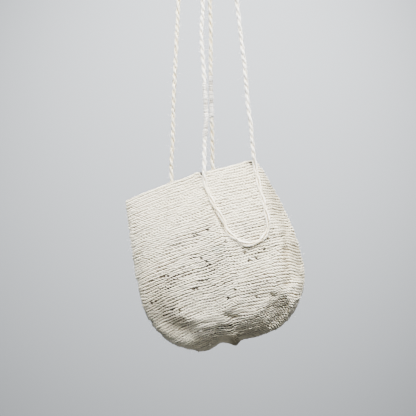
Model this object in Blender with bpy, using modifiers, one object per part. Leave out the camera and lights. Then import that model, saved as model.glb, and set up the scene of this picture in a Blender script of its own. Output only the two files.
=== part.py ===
"""Looped string bag, hung open and a little tilted by two twisted straps.

The bag is one seamless looped shell with a slim open mouth and a base that closes on a
straight line. Each strap is a ring of twisted cord: it lies as a U on one wall of the
bag, rises past the rim as two strands and passes over the hanging point at the top. The
ring is closed by a thread whipping. Metres, +Z up. The bag faces -Y, and the origin is
the point that the straps hang from.
"""
import math
from collections import namedtuple

import bmesh
import bpy
from mathutils import Vector

MM = 0.001

# Driving sizes
WALL = 2.4 * MM                # looped fabric, yarn over yarn
TILT = math.radians(17.0)      # the bag's right end hangs higher
RIM_MIDDLE = Vector((-19.2, 0.0, -261.6)) * MM
STRAP = 5.6 * MM               # across both plies
STRAP_WAIST = 0.64             # thickness of one ply, as a share of STRAP
PLY_SHOULDER = 0.52            # where a ply is thickest, as a share of half of STRAP
TWIST_TURN = 20.0 * MM         # one full turn of the two plies
STEPS_PER_TURN = 8
WHIPPING = 6.0 * MM            # across the thread turns
STRAP_CLEAR = 0.7 * MM         # strap to wall
SEGMENTS = 64                  # around the bag
RINGS_PER_SECTION = 2.4
CURVE_STEPS = 24               # between two points of a route, before it is evened out
WALL_END = 0.995               # a place on a wall is sought no nearer to its ends

# The bag's outline in its own tilted frame, from the rim down to the base line, in
# millimetres: how far down the row's ends lie, its reach to the left, right, front and
# back, how much its middle rises above its ends, and how pinched its ends are.
Section = namedtuple("Section", "down left right front back rise pinch")
SECTIONS = (
    Section(0, 81, 82, 14, 14, 5.2, 1.20),
    Section(14, 83.5, 87.5, 19, 17, 5.2, 1.12),
    Section(40, 88, 93.5, 28, 23, 6.0, 1.04),
    Section(70, 92.5, 99, 34, 27, 8.0, 0.98),
    Section(100, 96, 102, 38, 30, 12.0, 0.92),
    Section(128, 98, 101.5, 40, 32, 16.0, 0.88),
    Section(150, 94, 98, 39.5, 32, 19.0, 0.88),
    Section(168, 86, 89, 37, 30, 20.0, 0.90),
    Section(182, 75, 78, 32.5, 26.5, 17.0, 0.90),
    Section(192, 61, 66, 26, 22, 11.5, 0.92),
    Section(198, 50, 55, 17, 15, 5.0, 0.95),
    Section(201, 42, 46, 0, 0, 0.0, 1.00),
)

# Folds in the walls: a line from one end to the other (millimetres right of and below
# the rim's middle), how wide the fold is and how deep, where a minus is a ridge.
Fold = namedtuple("Fold", "name right0 down0 right1 down1 width depth")
FRONT_FOLDS = (
    Fold("lower left dent", -86, 138, -54, 168, 8, 7.5),
    Fold("lower left ridge", -62, 140, -42, 166, 7, -4.0),
    Fold("base dimple", -2, 165, 6, 174, 8, 4.5),
    Fold("lower right crease, upper", 56, 148, 44, 168, 7, 7.0),
    Fold("lower right crease, lower", 44, 168, 34, 186, 7, 5.0),
    Fold("right hollow", 66, 160, 58, 176, 9, 5.0),
    Fold("right ridge, upper", 84, 46, 88, 92, 8, -3.0),
    Fold("right ridge, lower", 88, 92, 72, 150, 8, -4.0),
    Fold("right side trough", 98, 92, 92, 140, 6, 3.5),
    Fold("base ripple, left", -26, 172, -20, 184, 6, 2.5),
    Fold("base ripple, right", 20, 170, 22, 186, 6, 2.5),
    Fold("strap pull", 17, 6, 21, 60, 9, 1.6),
)
BACK_FOLDS = (
    Fold("back dent", 60, 130, 30, 166, 9, 5.0),
    Fold("back ridge", -70, 90, -50, 150, 10, -3.0),
)
FOLD_FADE = 12.0               # the folds fade where the bag is thinner than this

# Soft bumps along the rim, which the straps pull up, and along the base line, where the
# foundation knot hangs down: place to the right, width and height, in millimetres.
Bump = namedtuple("Bump", "right width height")
FRONT_RIM_BUMPS = (Bump(10, 8, 2.4), Bump(73, 9, 2.4))
BACK_RIM_BUMPS = (Bump(-22, 8, 1.6), Bump(31, 8, 1.6))
BASE_BUMPS = (Bump(-5, 5, 4.5), Bump(-22, 9, -4.0), Bump(24, 12, 1.5))
RIM_BAND = 14.0
BASE_BAND = 12.0

# Strap routes in millimetres. Points in the air are x, y, z; points on a wall are right
# of and below the rim's middle, for the middle of the cord.
FRONT_FROM_WHIPPING_UP = (
    (-1.6, -10.6, -145.5), (-2.8, -9.4, -126.0), (-4.8, -8.1, -99.5), (-5.2, -7.0, -78.0),
    (-3.9, -6.4, -67.0), (-3.9, -5.6, -45.3), (-4.2, -5.0, -30.9), (-2.6, -4.8, -16.0),
    (2.8, -4.7, -6.0), (11.0, -4.7, -2.8), (21.0, -4.8, -6.6), (29.0, -5.0, -16.5),
    (34.1, -5.2, -30.8), (36.4, -5.5, -45.2), (39.8, -6.0, -71.7), (43.0, -6.6, -99.3),
    (45.6, -7.2, -119.7), (48.2, -7.8, -147.3), (50.3, -8.4, -173.6), (53.5, -9.0, -195.1),
    (55.0, -9.6, -213.0), (56.4, -10.0, -227.5),
)
FRONT_ON_WALL = (
    (79.4, 6.0), (78.4, 18.3), (76.6, 31.1), (76.3, 44.6), (75.2, 57.7), (74.4, 71.0),
    (71.2, 81.7), (64.7, 88.6), (54.6, 92.4), (41.6, 91.0), (32.6, 82.3), (25.3, 70.9),
    (21.9, 60.1), (20.3, 49.9), (19.2, 38.6), (17.8, 29.6), (17.0, 22.0), (16.1, 13.2),
    (16.8, 4.8),
)
FRONT_TO_WHIPPING = (
    (-2.1, -17.4, -246.5), (-1.8, -16.2, -237.0), (-1.6, -15.0, -225.0), (-1.4, -13.9, -209.3),
)
FRONT_WHIPPING = (
    (-1.4, -13.9, -209.0), (-0.6, -13.3, -200.0), (0.4, -12.7, -189.4), (-0.2, -11.9, -173.8),
    (-1.3, -10.9, -153.0), (-1.6, -10.6, -145.8),
)
BACK_FROM_WHIPPING_UP = (
    (5.7, 11.2, -133.5), (5.7, 10.0, -115.1), (5.7, 7.9, -75.6), (4.6, 6.0, -43.4),
    (4.6, 5.4, -29.1), (3.0, 5.0, -15.0), (-2.4, 4.8, -6.0), (-10.0, 4.7, -2.8),
    (-19.0, 4.8, -6.8), (-26.6, 4.9, -16.0), (-30.7, 5.0, -29.3), (-33.0, 5.4, -43.7),
    (-35.2, 6.6, -86.9), (-36.9, 8.0, -118.1), (-38.5, 10.2, -150.6), (-39.8, 12.4, -183.1),
    (-40.1, 14.6, -212.0), (-41.3, 15.8, -227.6), (-42.1, 16.9, -245.0),
)
BACK_ON_WALL = (
    (-23.5, 4.0), (-24.0, 20.0), (-22.6, 38.0), (-18.0, 56.0), (-9.0, 70.0), (4.0, 76.0),
    (17.0, 72.0), (26.0, 59.0), (30.0, 42.0), (31.4, 24.0), (31.6, 6.0),
)
BACK_TO_WHIPPING = (
    (8.2, 18.2, -244.2), (7.8, 16.9, -223.6), (7.3, 14.9, -200.0), (6.8, 13.9, -184.3),
)
BACK_WHIPPING = (
    (6.8, 13.9, -184.0), (6.5, 13.3, -171.6), (6.0, 12.2, -152.0), (5.7, 11.2, -133.8),
)


def clear_scene():
    for item in list(bpy.data.objects):
        bpy.data.objects.remove(item, do_unlink=True)


def collection(name):
    group = bpy.data.collections.new(name)
    bpy.context.scene.collection.children.link(group)
    return group


def material(name, colour, roughness):
    made = bpy.data.materials.new(name)
    made.use_nodes = True
    shader = made.node_tree.nodes["Principled BSDF"]
    shader.inputs["Base Color"].default_value = (*colour, 1.0)
    shader.inputs["Roughness"].default_value = roughness
    shader.inputs["Metallic"].default_value = 0.0
    return made


def between(p0, p1, p2, p3, share):
    """A smooth value between p1 and p2, bent by the values on either side."""
    slope1, slope2 = (p2 - p0) / 2, (p3 - p1) / 2
    s2, s3 = share * share, share ** 3
    return (p1 * (2 * s3 - 3 * s2 + 1) + slope1 * (s3 - 2 * s2 + share)
            + p2 * (3 * s2 - 2 * s3) + slope2 * (s3 - s2))


def section_at(row):
    """The bag's section at a row number, which may lie between two rows of the table."""
    last = len(SECTIONS) - 1
    row = min(max(row, 0.0), last)
    low = min(int(row), last - 1)
    picks = [SECTIONS[min(max(low + i, 0), last)] for i in (-1, 0, 1, 2)]
    return Section(*(between(*four, row - low) for four in zip(*picks)))


def row_at(down):
    """The row number whose ends lie this far down."""
    low, high = 0.0, len(SECTIONS) - 1.0
    for _ in range(30):
        middle = (low + high) / 2
        if section_at(middle).down < down:
            low = middle
        else:
            high = middle
    return low


def fold_depth(folds, right, down):
    """How far the folds push the wall inwards at one place."""
    depth = 0.0
    for fold in folds:
        along = Vector((fold.right1 - fold.right0, fold.down1 - fold.down0))
        start = Vector((right - fold.right0, down - fold.down0))
        share = min(max(start.dot(along) / along.length_squared, 0.0), 1.0)
        distance = (start - along * share).length
        depth += fold.depth * math.exp(-(distance / fold.width) ** 2)
    return depth


def bump_height(bumps, right):
    return sum(b.height * math.exp(-((right - b.right) / b.width) ** 2) for b in bumps)


def wall_local(row, angle):
    """Right, back and down of a point on the wall. Angle 0 is the right end, and the
    front of the bag is at three quarters of a turn."""
    section = section_at(row)
    across, deep = math.cos(angle), math.sin(angle)
    right = (section.right - section.left) / 2 + across * (section.right + section.left) / 2
    down = section.down - section.rise * deep * deep
    shape = abs(deep) ** section.pinch
    if deep < 0:
        inward = fold_depth(FRONT_FOLDS, right, down) * min(1.0, section.front / FOLD_FADE)
        back = -shape * section.front + inward * min(1.0, 2 * shape)
    else:
        inward = fold_depth(BACK_FOLDS, right, down) * min(1.0, section.back / FOLD_FADE)
        back = shape * section.back - inward * min(1.0, 2 * shape)
    near_rim = max(0.0, 1 - section.down / RIM_BAND)
    near_base = max(0.0, 1 - (SECTIONS[-1].down - section.down) / BASE_BAND)
    down -= near_rim * bump_height(FRONT_RIM_BUMPS if deep < 0 else BACK_RIM_BUMPS, right)
    down += near_base * bump_height(BASE_BUMPS, right)
    return right, back, down


def to_world(right, back, down):
    """From the bag's own tilted millimetres to the part's metres."""
    x = right * math.cos(TILT) + down * math.sin(TILT)
    z = right * math.sin(TILT) - down * math.cos(TILT)
    return RIM_MIDDLE + Vector((x, back, z)) * MM


def wall_point(row, angle):
    return to_world(*wall_local(row, angle))


def wall_normal(row, angle):
    """The wall's outward direction."""
    step = 0.01
    along = wall_point(row + step, angle) - wall_point(row - step, angle)
    around = wall_point(row, angle + step) - wall_point(row, angle - step)
    return around.cross(along).normalized() * -1.0


def place_on_wall(right, down, side):
    """The row and angle of the wall at a place seen from the front (side -1) or back."""
    row = row_at(down)
    angle = 0.0
    for _ in range(12):
        section = section_at(row)
        middle = (section.right - section.left) / 2
        across = (right - middle) / ((section.right + section.left) / 2)
        across = min(max(across, -WALL_END), WALL_END)
        angle = side * math.acos(across)
        row = row_at(down + section.rise * math.sin(angle) ** 2)
    return row, angle


def strap_on_wall(right, down, side):
    """The strap's middle where it lies on the wall, seen at this place."""
    aim = Vector((right, down))
    goal = aim.copy()
    for _ in range(6):
        row, angle = place_on_wall(aim.x, aim.y, side)
        normal = wall_normal(row, angle)
        found = wall_point(row, angle) + normal * (STRAP / 2 + STRAP_CLEAR)
        offset = (found - RIM_MIDDLE) / MM
        seen = Vector((offset.x * math.cos(TILT) + offset.z * math.sin(TILT),
                       offset.x * math.sin(TILT) - offset.z * math.cos(TILT)))
        aim += goal - seen
    return found


def smooth_route(points, step):
    """Points about one step apart on a smooth curve through the given points."""
    ends = [points[0] * 2 - points[1]] + list(points) + [points[-1] * 2 - points[-2]]
    fine = []
    for i in range(len(points) - 1):
        fine += [between(*ends[i:i + 4], k / CURVE_STEPS) for k in range(CURVE_STEPS)]
    fine.append(points[-1])
    lengths = [0.0]
    for a, b in zip(fine, fine[1:]):
        lengths.append(lengths[-1] + (b - a).length)
    count = max(2, round(lengths[-1] / step))
    route, place = [], 0
    for i in range(count + 1):
        goal = lengths[-1] * i / count
        while place < len(fine) - 2 and lengths[place + 1] < goal:
            place += 1
        span = lengths[place + 1] - lengths[place]
        route.append(fine[place].lerp(fine[place + 1], (goal - lengths[place]) / span))
    return route


def ply_outline(group):
    """The section of two plies side by side, which the strap's curve carries along."""
    half, waist = STRAP / 2, STRAP * STRAP_WAIST / 2
    shoulder = half * PLY_SHOULDER
    corners = ((half, 0), (shoulder, -waist), (-shoulder, -waist),
               (-half, 0), (-shoulder, waist), (shoulder, waist))
    data = bpy.data.curves.new("ply_outline", "CURVE")
    data.dimensions = "2D"
    spline = data.splines.new("POLY")
    spline.points.add(len(corners) - 1)
    for point, (x, y) in zip(spline.points, corners):
        point.co = (x, y, 0, 1)
    spline.use_cyclic_u = True
    outline = bpy.data.objects.new("ply_outline", data)
    outline.hide_render = True
    outline.display_type = "WIRE"
    group.objects.link(outline)
    return outline


def cord(name, route, group, finish, outline=None, width=0.0):
    """A cord along a route: twisted where it has an outline, and plain round if not."""
    data = bpy.data.curves.new(name, "CURVE")
    data.dimensions = "3D"
    data.twist_mode = "MINIMUM"
    data.use_fill_caps = True
    if outline:
        data.bevel_mode = "OBJECT"
        data.bevel_object = outline
    else:
        data.bevel_depth = width / 2
        data.bevel_resolution = 3
    spline = data.splines.new("POLY")
    spline.points.add(len(route) - 1)
    for i, (point, place) in enumerate(zip(spline.points, route)):
        point.co = (*place, 1)
        if outline:
            point.tilt = 2 * math.pi * i / STEPS_PER_TURN
    data.materials.append(finish)
    made = bpy.data.objects.new(name, data)
    group.objects.link(made)
    return made


def strap_route(up, on_wall, back_to_whipping, side):
    """The whole way round one strap, from its whipping's top to its whipping's foot."""
    points = [Vector(p) * MM for p in up]
    points += [strap_on_wall(*place, side) for place in on_wall]
    points += [Vector(p) * MM for p in back_to_whipping]
    return smooth_route(points, TWIST_TURN / STEPS_PER_TURN)


def bag_body(group, finish):
    """The looped shell: rings of points down to a base line, given its thickness."""
    mesh = bmesh.new()
    last = len(SECTIONS) - 1
    count = round(last * RINGS_PER_SECTION)
    rings = []
    for i in range(count):
        row = last * i / count
        rings.append([mesh.verts.new(wall_point(row, 2 * math.pi * k / SEGMENTS))
                      for k in range(SEGMENTS)])
    half = SEGMENTS // 2
    line = [mesh.verts.new(wall_point(last, math.pi * k / half)) for k in range(half + 1)]
    rings.append([line[k] if k <= half else line[SEGMENTS - k] for k in range(SEGMENTS)])
    for upper, lower in zip(rings, rings[1:]):
        for k in range(SEGMENTS):
            following = (k + 1) % SEGMENTS
            mesh.faces.new((upper[k], lower[k], lower[following], upper[following]))
    data = bpy.data.meshes.new("bag_body")
    mesh.to_mesh(data)
    mesh.free()
    data.shade_smooth()
    data.materials.append(finish)
    made = bpy.data.objects.new("bag_body", data)
    group.objects.link(made)
    thickness = made.modifiers.new("fabric thickness", "SOLIDIFY")
    thickness.thickness = WALL
    thickness.offset = -1.0
    thickness.use_even_offset = True
    return made


def build():
    clear_scene()
    parts = collection("looped_string_bag")
    guides = collection("guides")
    yarn = material("looped cream yarn", (0.78, 0.74, 0.66), 0.9)
    twisted = material("twisted cream cord", (0.82, 0.78, 0.70), 0.85)
    thread = material("whipping thread", (0.80, 0.75, 0.66), 0.85)
    outline = ply_outline(guides)
    bag_body(parts, yarn)
    front = strap_route(FRONT_FROM_WHIPPING_UP, FRONT_ON_WALL, FRONT_TO_WHIPPING, -1)
    back = strap_route(BACK_FROM_WHIPPING_UP, BACK_ON_WALL, BACK_TO_WHIPPING, 1)
    cord("front_strap", front, parts, twisted, outline)
    cord("back_strap", back, parts, twisted, outline)
    for name, points in (("front_whipping", FRONT_WHIPPING), ("back_whipping", BACK_WHIPPING)):
        route = smooth_route([Vector(p) * MM for p in points], WHIPPING)
        cord(name, route, parts, thread, width=WHIPPING)


build()
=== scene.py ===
"""Looped string bag on two twisted straps: the looks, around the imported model.

The cloth is made as it is looped: course after course of half hitches in two-ply yarn,
each course hooked over the one before it, on the same wall that the solids have. Metres,
+Z up, the bag's front faces -Y, and the origin is the point that the straps hang from.
"""
import math
from collections import namedtuple

import bmesh
import bpy
import numpy as np
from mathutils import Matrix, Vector


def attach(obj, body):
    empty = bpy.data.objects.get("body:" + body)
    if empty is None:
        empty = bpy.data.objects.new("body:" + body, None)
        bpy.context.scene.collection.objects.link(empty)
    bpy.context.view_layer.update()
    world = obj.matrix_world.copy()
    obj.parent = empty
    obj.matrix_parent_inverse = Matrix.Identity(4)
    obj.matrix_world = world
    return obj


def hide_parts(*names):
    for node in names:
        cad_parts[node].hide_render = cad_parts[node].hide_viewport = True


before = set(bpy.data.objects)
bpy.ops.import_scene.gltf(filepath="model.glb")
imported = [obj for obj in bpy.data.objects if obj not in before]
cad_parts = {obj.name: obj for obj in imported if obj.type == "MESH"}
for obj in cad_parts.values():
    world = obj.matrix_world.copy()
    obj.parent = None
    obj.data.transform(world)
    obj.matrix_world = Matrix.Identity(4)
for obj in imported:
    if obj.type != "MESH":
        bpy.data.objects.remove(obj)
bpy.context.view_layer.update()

MM = 0.001
TURN = 2 * math.pi


def table(kind, rows):
    return tuple(kind(*row) for row in rows)


# The bag's own tilted frame, as in the solids
TILT = math.radians(17.0)
RIM_MIDDLE = np.array([-19.2, 0.0, -261.6]) * MM
WALL = 2.4  # millimetres of looped cloth, yarn over yarn

# Sections from the rim down to the base line, in millimetres of the bag's own frame:
# depth of the row's ends, reach to the left, right, front and back, rise of its middle,
# and how pinched its ends are.
Section = namedtuple("Section", "down left right front back rise pinch")
SECTIONS = table(Section, (
    (0, 81, 82, 14, 14, 5.2, 1.20),
    (14, 83.5, 87.5, 19, 17, 5.2, 1.12),
    (40, 88, 93.5, 28, 23, 6.0, 1.04),
    (70, 92.5, 99, 34, 27, 8.0, 0.98),
    (100, 96, 102, 38, 30, 12.0, 0.92),
    (128, 98, 101.5, 40, 32, 16.0, 0.88),
    (150, 94, 98, 39.5, 32, 19.0, 0.88),
    (168, 86, 89, 37, 30, 20.0, 0.90),
    (182, 75, 78, 32.5, 26.5, 17.0, 0.90),
    (192, 61, 66, 26, 22, 11.5, 0.92),
    (198, 50, 55, 17, 15, 5.0, 0.95),
    (201, 42, 46, 0, 0, 0.0, 1.00),
))

# Folds: a line in millimetres right of and below the rim's middle, its width, and its
# depth, where a minus is a ridge.
Fold = namedtuple("Fold", "name right0 down0 right1 down1 width depth")
FRONT_FOLDS = table(Fold, (
    ("left dent", -78, 147, -55, 169, 12, 4.2),
    ("left shelf", -80, 131, -66, 137, 4.5, 0.7),
    ("low left swell", -60, 148, -40, 160, 8, -2.0),
    ("dimple", -3, 165, 5, 170, 5, 1.5),
    ("dimple eye", -0.5, 166, 1, 167.2, 1.9, 1.7),
    ("dimple fold", -8, 162, 7, 170, 2.6, 0.7),
    ("middle crease", 3, 145, 29, 147, 3.0, 0.7),
    ("low wrinkle, left", -40, 163, -20, 167, 3.0, 0.6),
    ("low wrinkle, middle", -34, 175, -6, 178, 3.0, 0.8),
    ("right tuck, pinch", 53, 156, 55, 158, 2.6, 3.0),
    ("right tuck, edge", 53, 159, 42, 177, 2.6, 2.2),
    ("strap ridge", 80, 6, 76, 70, 7, -2.4),
    ("right ridge, upper", 82, 60, 84, 84, 7, -2.4),
    ("side fold, upper", 90, 92, 84, 111, 3.6, 2.2),
    ("side fold, lower", 84, 111, 75, 150, 3.6, 3.2),
    ("side trough", 101, 98, 98, 144, 8, 4.0),
    ("right band, upper", 85, 156, 82, 171, 6, -3.6),
    ("right band, lower", 82, 171, 68, 187, 6, -4.6),
    ("right side, upper", 97, 8, 100, 84, 10, 8.0),
    ("strap pull", 17, 6, 21, 60, 9, 1.6),
    ("strap line, upper", 13.4, 14, 16.2, 40, 1.3, 2.4),
    ("strap line, lower", 16.2, 40, 22.5, 70, 1.3, 2.4),
    ("strap behind", -40, -4, -40, 20, 3.0, -0.7),
))
BACK_FOLDS = table(Fold, (
    ("back dent", 60, 130, 30, 166, 9, 5.0),
    ("back ridge", -70, 90, -50, 150, 10, -3.0),
))
FOLD_FADE = 12.0  # less of a fold where the wall is shallower

# Where the front turns in under the belly: the depth at which it starts, and how much of
# the wall's reach it takes back, from left to right.
TUCKS = (  # right, start, height and share
    (-64, 184, 20, 0.0), (-56, 178, 22, 0.14), (-50, 172, 28, 0.25), (-44, 168, 31, 0.31),
    (-34, 167, 34, 0.32), (-25, 168, 33, 0.31), (-16, 166, 35, 0.33), (-8, 169, 32, 0.33),
    (2, 167, 34, 0.33), (9, 171, 30, 0.33), (16, 170, 31, 0.33), (27, 173, 28, 0.33),
    (36, 173, 28, 0.33), (41, 169, 30, 0.39), (46, 163, 37, 0.48), (51, 156, 42, 0.52),
    (60, 154, 38, 0.50), (67, 155, 32, 0.38), (71, 161, 24, 0.05), (75, 168, 16, 0.0),
)

# Soft bumps along the rim and along the base line, in millimetres
Bump = namedtuple("Bump", "right width height")
FRONT_RIM_BUMPS = (Bump(10, 8, 2.4), Bump(73, 9, 2.4))
BACK_RIM_BUMPS = (Bump(-22, 8, 1.6), Bump(31, 8, 1.6))
BASE_BUMPS = (Bump(-5, 5, 4.5), Bump(-22, 9, -4.0), Bump(24, 12, 1.5))
RIM_BAND, BASE_BAND = 14.0, 12.0  # how far from the rim and the base line they reach

# The looping
COURSES = 66  # rows from rim to base
STITCH = 3.5 * MM  # from one hitch to the next
RIM_STITCH = 0.9  # the rim's stitches are closer by this
COUNT_HOLDS = 0.16  # past this change of pitch a course is counted anew
FEWEST_STITCHES = 12
YARN = 1.50 * MM  # soft two-ply yarn
PLUMP = 0.33  # how much fuller it is midway down a stitch's front leg
NECK = 0.07  # how much thinner it is where it hooks over
SLANT = 0.38  # share of a stitch that its slanting front leg gains
REACH = 0.325  # share of a course that a stitch reaches up and down
PROUD = 0.68  # millimetres that the front leg stands before the wall
YARN_AT = -WALL / 2 + 0.12  # from the wall's face out to a yarn's middle
TONE_AT_MIDDLE = 0.36  # tone midway through the wall, where 0 is brown painted shade and 1 pale
DEPTH_SHADE_SLOPE = 0.56  # painted shade: how much paler it is for each millimetre further out
HOLE_SHADE = 0.35  # painted shade: how much browner beside an open stitch
# How unevenly stitches are made, as shares of each size
UNEVEN_PITCH, UNEVEN_REACH, UNEVEN_ROW = 0.08, 0.14, 0.03
UNEVEN_PROUD, UNEVEN_YARN, UNEVEN_TONE = 0.16, 0.08, 0.05
# Slow changes along a course: their knots round it, and how far they go
Drift = namedtuple("Drift", "knots amount")
ROW_DRIFT = Drift(23, 0.04)  # up and down, as a share of a course
EDGE_DRIFT = Drift(41, 0.50)  # in and out at the bag's sides, in millimetres
YARN_DRIFT = Drift(31, 0.05)  # in thickness
TONE_DRIFT = Drift(17, 0.04)
POINTS_PER_STITCH = 10
YARN_SIDES = 4
GRID_PER_COURSE = 4  # the wall's grid is this much finer than the courses
GRID_ROWS = 441  # rows that it is measured on first
ANGLES = 720
COURSE_SKEW = -0.008  # the right end's courses run lower, as a share
SIDE_DROP = 0.032  # and drop further round the right side
SIDE_REACH = 0.55  # over this angle
PIECES = 4  # looped pieces, so that none grows too large
CLOTH_COLUMNS = 116  # the thin cloth behind the stitches
CLOTH_BEHIND = 0.25  # millimetres from the wall's middle in to it
CLOTH = 0.4 * MM  # its thickness
BASE_LINE = COURSES - 0.4  # its walls meet at this course number

# Strap routes in millimetres, as in the solids: each rises from its whipping, goes over
# what it hangs from and lies as a U on its wall. In the air they are x, y, z, and on a wall
# right of and below the rim's middle.
FRONT_RISE = (
    (-1.6, -10.6, -145.5), (-2.8, -9.4, -126), (-4.8, -8.1, -99.5), (-5.2, -7, -78),
    (-3.9, -6.4, -67), (-3.9, -5.6, -45.3), (-4.2, -5, -30.9), (-2.6, -4.8, -16),
    (2.8, -4.7, -6), (11, -4.7, -2.8), (21, -4.8, -6.6), (29, -5, -16.5),
    (34.1, -5.2, -30.8), (36.4, -5.5, -45.2), (39.8, -6, -71.7), (43, -6.6, -99.3),
    (45.6, -7.2, -119.7), (48.2, -7.8, -147.3), (50.3, -8.4, -173.6), (53.5, -9, -195.1),
    (55, -9.6, -213), (56.4, -10, -227.5),
)
FRONT_ON_WALL = (
    (79.4, 6), (78.4, 18.3), (76.6, 31.1), (76.3, 44.6), (75.2, 57.7), (74.4, 71),
    (71.2, 81.7), (64.7, 88.6), (54.6, 92.4), (41.6, 91), (32.6, 82.3), (25.3, 70.9),
    (21.9, 60.1), (20.3, 49.9), (19.2, 38.6), (17.8, 29.6), (17, 22), (16.1, 13.2),
    (16.8, 4.8),
)
FRONT_TO_WHIPPING = (
    (-2.1, -17.4, -246.5), (-1.8, -16.2, -237), (-1.6, -15, -225), (-1.4, -13.9, -209.3),
)
FRONT_WHIPPING = (
    (-1.4, -13.9, -209), (-0.6, -13.3, -200), (0.4, -12.7, -189.4), (-0.2, -11.9, -173.8),
    (-1.3, -10.9, -153), (-1.6, -10.6, -145.8),
)
BACK_RISE = (
    (5.7, 11.2, -133.5), (5.7, 10, -115.1), (5.7, 7.9, -75.6), (4.6, 6, -43.4),
    (4.6, 5.4, -29.1), (3, 5, -15), (-2.4, 4.8, -6), (-10, 4.7, -2.8),
    (-19, 4.8, -6.8), (-26.6, 4.9, -16), (-30.7, 5, -29.3), (-33, 5.4, -43.7),
    (-35.2, 6.6, -86.9), (-36.9, 8, -118.1), (-38.5, 10.2, -150.6), (-39.8, 12.4, -183.1),
    (-40.1, 14.6, -212), (-41.3, 15.8, -227.6), (-42.1, 16.9, -245),
)
BACK_ON_WALL = (
    (-23.5, 4), (-24, 20), (-22.6, 38), (-18, 56), (-9, 70), (4, 76),
    (17, 72), (26, 59), (30, 42), (31.4, 24), (31.6, 6),
)
BACK_TO_WHIPPING = (
    (8.2, 18.2, -244.2), (7.8, 16.9, -223.6), (7.3, 14.9, -200), (6.8, 13.9, -184.3),
)
BACK_WHIPPING = (
    (6.8, 13.9, -184), (6.5, 13.3, -171.6), (6, 12.2, -152), (5.7, 11.2, -133.8),
)
WALL_END = 0.995  # a place on a wall is sought no nearer to its ends
STRAP = 5.6 * MM
STRAP_CLEAR = 0.7 * MM  # from the wall, before it flattens
ROUTE_STEP = 1.0 * MM
PLIES, PLY_YARNS = 2, 3
PLY_TURN = 20.0 * MM  # one full turn of the two plies
YARN_TURN = 11.0 * MM  # one full turn of the three yarns in a ply, the other way
PLY_OFFSET = 0.98 * MM  # from the cord's middle to a ply's
YARN_OFFSET = 0.84 * MM  # from a ply's middle to a yarn's
PLY_START = 0.3  # how far one ply's yarns are turned from the other's
STRAP_YARN, STRAP_YARN_SIDES, UNEVEN_STRAP = 1.92 * MM, 6, 0.04
TWIST_DRIFT = Drift(50, 0.55)  # along the cord, in radians
LUMP_DRIFT = Drift(110, 0.13)  # as a share of the yarn
FLATTENS_OVER = 4 * MM  # how soon the cord flattens below the rim
WALL_SLOWER = 1.4  # how much longer a turn is on the wall
WALL_SINK = 3.3 * MM  # how much nearer the wall the flattened cord lies
BEND_RISES = 0.9 * MM  # the U's bend lies higher by this
BEND_HALF = 32.0 * MM  # half the bend's length
ARM_THINNER = 0.05  # how much thinner its arms are
PLY_OPENS, BEND_OPENS, PLY_FLATTENS = 0.35, 0.30, 0.50  # on the wall
YARN_OPENS, YARN_FLATTENS = 0.20, 0.30
STRAP_TONE = (1.15, -0.12)  # painted shade deep in the cord: slope and start
WALL_TONE = 0.20  # how much duller it is on the wall

# The whippings
THREAD, THREAD_SIDES, THREAD_STEP = 1.8 * MM, 5, 0.05 * MM
THREAD_PITCH = 1.04  # from turn to turn, in threads
WHIPPING = 6.0 * MM
# Painted shade deep between the whipping's turns, as slope and start
WHIPPING_TONE = (3.6, -2.7)
UNEVEN_TURN, UNEVEN_WINDING, UNEVEN_THREAD, UNEVEN_THREAD_TONE = 0.9, 0.09, 0.17, 0.14
END_TAPER = 2 * MM  # over this the winding draws in at its ends
END_SHARE = 0.72  # to this share of its thickness
CORE_EVERY, CORE_SIDES, CORE_SHADE = 20, 8, 0.1  # the cord inside, painted dark as the shade between the turns


# Camera
VIEW_WIDTH = 416 * 1.2 * MM  # at the bag's distance
CAMERA_DISTANCE = 1.4
CAMERA_AT = (2.4 * MM, -294.0 * MM)
SENSOR = 36.0


def put_in_scene(name, data):
    made = bpy.data.objects.new(name, data)
    bpy.context.scene.collection.objects.link(made)
    return made


def make_camera():
    data = bpy.data.cameras.new("camera")
    data.sensor_width = SENSOR
    data.lens = SENSOR * CAMERA_DISTANCE / VIEW_WIDTH
    made = put_in_scene("camera", data)
    made.location = (CAMERA_AT[0], -CAMERA_DISTANCE, CAMERA_AT[1])
    made.rotation_euler = (math.radians(90), 0, 0)
    bpy.context.scene.camera = made


# Colours and materials

def linear(code):
    """An sRGB hex colour as linear red, green, blue and alpha."""
    parts = [int(code[i:i + 2], 16) / 255 for i in (1, 3, 5)]
    return (*(c / 12.92 if c <= 0.04045 else ((c + 0.055) / 1.055) ** 2.4 for c in parts), 1)


def add(tree, kind, settings=None, inputs=None, links=None):
    """One node: its settings, its inputs' values, and what its inputs are joined to."""
    node = tree.nodes.new("ShaderNode" + kind)
    for key, value in (settings or {}).items():
        setattr(node, key, value)
    for key, value in (inputs or {}).items():
        node.inputs[key].default_value = value
    for key, source in (links or {}).items():
        tree.links.new(source, node.inputs[key])
    return node


def new_material(name, roughness, sheen, specular):
    made = bpy.data.materials.new(name)
    made.use_nodes = True
    shader = made.node_tree.nodes["Principled BSDF"]
    shader.inputs["Roughness"].default_value = roughness
    shader.inputs["Sheen Weight"].default_value = sheen
    shader.inputs["Specular IOR Level"].default_value = specular
    return made, made.node_tree, shader


YARN_ROUGHNESS, YARN_SHEEN, YARN_SPECULAR = 0.88, 0.25, 0.25
FIBRES = {"Scale": 2.6 / MM, "Detail": 4.0}  # the scale is how many are in a metre
FIBRE_RELIEF = 0.35  # how high they stand beside a ply's roundness
RELIEF = {"Strength": 0.5, "Distance": 0.12 * MM}
PATCHES = {"Scale": 0.045 / MM, "Detail": 3.0}  # paler and browner lengths of yarn
PATCH_TONE = 0.30  # how far their tone swings
DYE = "#7FA79A"  # a greenish trace


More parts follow.
